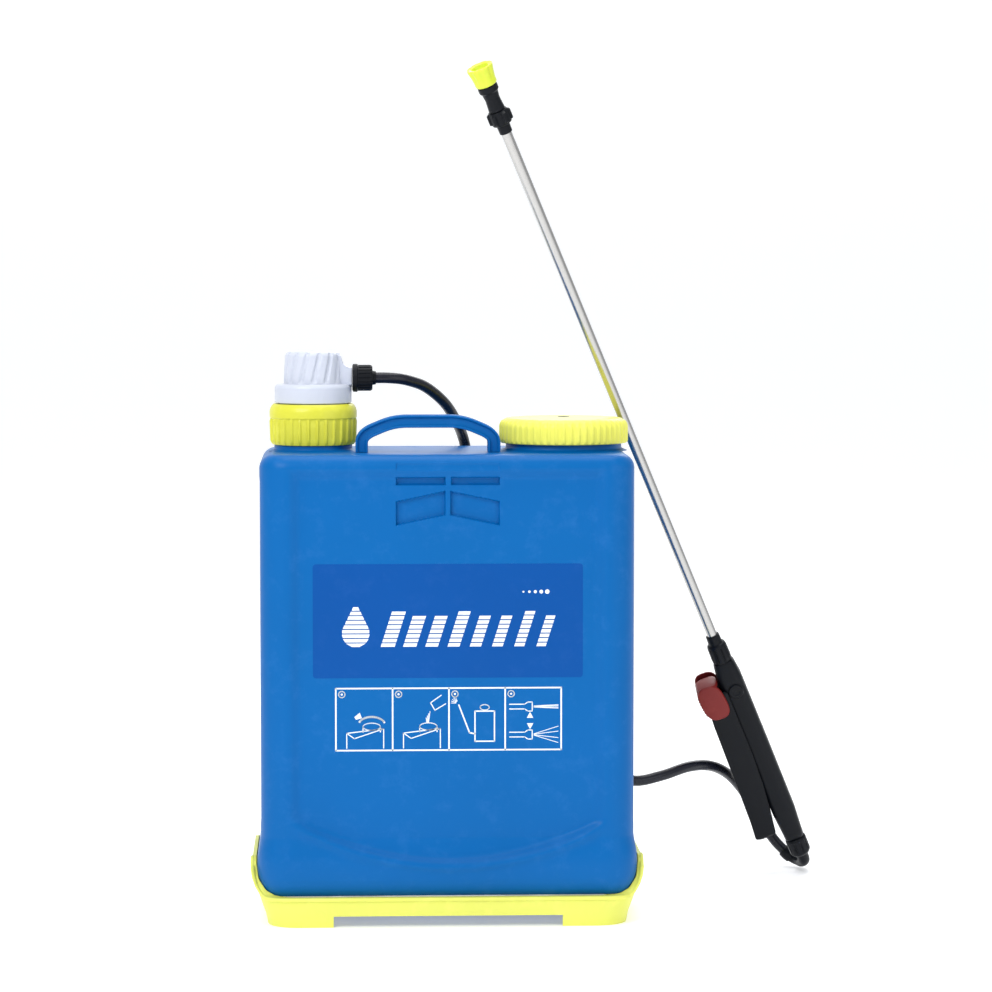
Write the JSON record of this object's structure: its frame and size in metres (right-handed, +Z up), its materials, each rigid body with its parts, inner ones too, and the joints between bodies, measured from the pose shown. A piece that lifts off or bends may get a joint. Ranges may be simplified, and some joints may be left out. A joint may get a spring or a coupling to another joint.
{
  "type": "backpack sprayer",
  "caption": "Lever-operated knapsack sprayer: moulded tank on a skirted base, piston pump, filler lid, hose, hand lance with trigger and cone nozzle, shoulder straps.",
  "frame": {"origin": "middle of the whole model's box in plan, without the hose, on the surface the feet stand on", "axes": "+Z up, label side of the tank to -Y, wearer to +Y"},
  "size_m": [0.5566, 0.4028, 0.7981],
  "materials": {
    "tank_blue": "blow-moulded polyethylene, semi-gloss",
    "yellow_plastic": "injection-moulded, satin",
    "base_yellow": "injection-moulded, satin",
    "nozzle_lime": "moulded lime-yellow",
    "head_white": "translucent white",
    "black_plastic": "glass-filled nylon",
    "latch_red": "brownish-red moulding",
    "black_rubber": "seals",
    "hose_black": "smooth PVC hose",
    "stainless": "drawn stainless",
    "strap_fabric": "woven webbing"
  },
  "bodies": {
    "root": {"air_chamber": "head_white", "base": "base_yellow", "carry_handle": "tank_blue", "gland_seal": "black_rubber", "head_gasket": "black_rubber", "hose": "hose_black", "lid_seal": "black_rubber", "outlet_nut": "black_plastic", "pump_cylinder": "head_white", "pump_head": "head_white", "shaft_bush_left": "black_plastic", "shaft_bush_right": "black_plastic", "strainer_basket": "black_plastic", "strap_anchor_left": "black_plastic", "strap_anchor_right": "black_plastic", "strap_buckle_left": "black_plastic", "strap_buckle_right": "black_plastic", "strap_hook_left": "black_plastic", "strap_hook_right": "black_plastic", "strap_pad_left": "strap_fabric", "strap_pad_right": "strap_fabric", "strap_web_left": "strap_fabric", "strap_web_right": "strap_fabric", "tank": "tank_blue", "valve_seat": "black_plastic"},
    "drive": {"cross_shaft": "stainless", "shaft_clip": "stainless", "shaft_cap": "black_plastic", "crank_arm": "stainless", "crank_pin": "stainless", "lever_arm": "stainless", "lever_grip": "black_plastic"},
    "plunger": {"piston_rod": "stainless", "piston": "black_plastic", "piston_seal": "black_rubber"},
    "ball": {"valve_ball": "stainless"},
    "lid": {"filler_lid": "yellow_plastic", "lid_vent": "black_plastic"},
    "ring_nut": {"pump_ring_nut": "yellow_plastic"},
    "lance": {"wand_body": "black_plastic", "hose_nut": "black_plastic", "hose_elbow": "black_plastic", "gland_nut": "black_plastic", "lance_tube": "stainless", "trigger_pin": "stainless", "handle_filter": "head_white", "valve_spring": "stainless", "nozzle_nut": "black_plastic", "nozzle_body": "black_plastic", "swirl_core": "black_plastic"},
    "valve": {"valve_pin": "stainless"},
    "trigger": {"trigger_lever": "black_plastic"},
    "latch": {"trigger_latch": "latch_red"},
    "nozzle": {"nozzle_cap": "nozzle_lime"}
  },
  "joints": [
    {"name": "lever_swing", "type": "hinge", "parent": "root", "child": "drive", "pos_m": [-0.24429, -0.05886, 0.037], "axis": [1, 0, 0], "range_deg": [0, 50]},
    {"name": "pump_stroke", "type": "slide", "parent": "root", "child": "plunger", "axis": [0, 0, 1], "range_m": [-0.04226, 0]},
    {"name": "ball_lift", "type": "slide", "parent": "root", "child": "ball", "axis": [0, 0, 1], "range_m": [0, 0.004]},
    {"name": "lid_turn", "type": "hinge", "parent": "root", "child": "lid", "pos_m": [0.01621, -0.10886, 0.457], "axis": [0, 0, 1], "range_deg": [0, 270]},
    {"name": "pump_nut_turn", "type": "hinge", "parent": "root", "child": "ring_nut", "pos_m": [-0.21929, -0.10886, 0.46], "axis": [0, 0, 1], "range_deg": [0, 360]},
    {"name": "lance_swing", "type": "hinge", "parent": "root", "child": "lance", "pos_m": [0.26071, 0.11734, 0.0122], "axis": [-0.6346, 0.7728, 0], "range_deg": [0, 12]},
    {"name": "trigger_squeeze", "type": "hinge", "parent": "lance", "child": "trigger", "pos_m": [0.17587, 0.02721, 0.18912], "axis": [0, -0.942, -0.3356], "range_deg": [0, 5], "stiffness_Nm_per_rad": 2},
    {"name": "valve_lift", "type": "slide", "parent": "lance", "child": "valve", "axis": [-0.3783, -0.3106, 0.872], "range_m": [0, 0.003]},
    {"name": "latch_slide", "type": "slide", "parent": "trigger", "child": "latch", "axis": [0.3783, 0.3106, -0.872], "range_m": [0, 0.008]},
    {"name": "nozzle_cap_turn", "type": "hinge", "parent": "lance", "child": "nozzle", "pos_m": [-0.06317, -0.18507, 0.78501], "axis": [-0.3783, -0.3106, 0.872], "range_deg": [0, 180]}
  ],
  "couplings": [
    {"joint": "pump_stroke", "follows": "lever_swing", "m_per_rad": -0.04843},
    {"joint": "valve_lift", "follows": "trigger_squeeze", "m_per_rad": 0.03438}
  ]
}
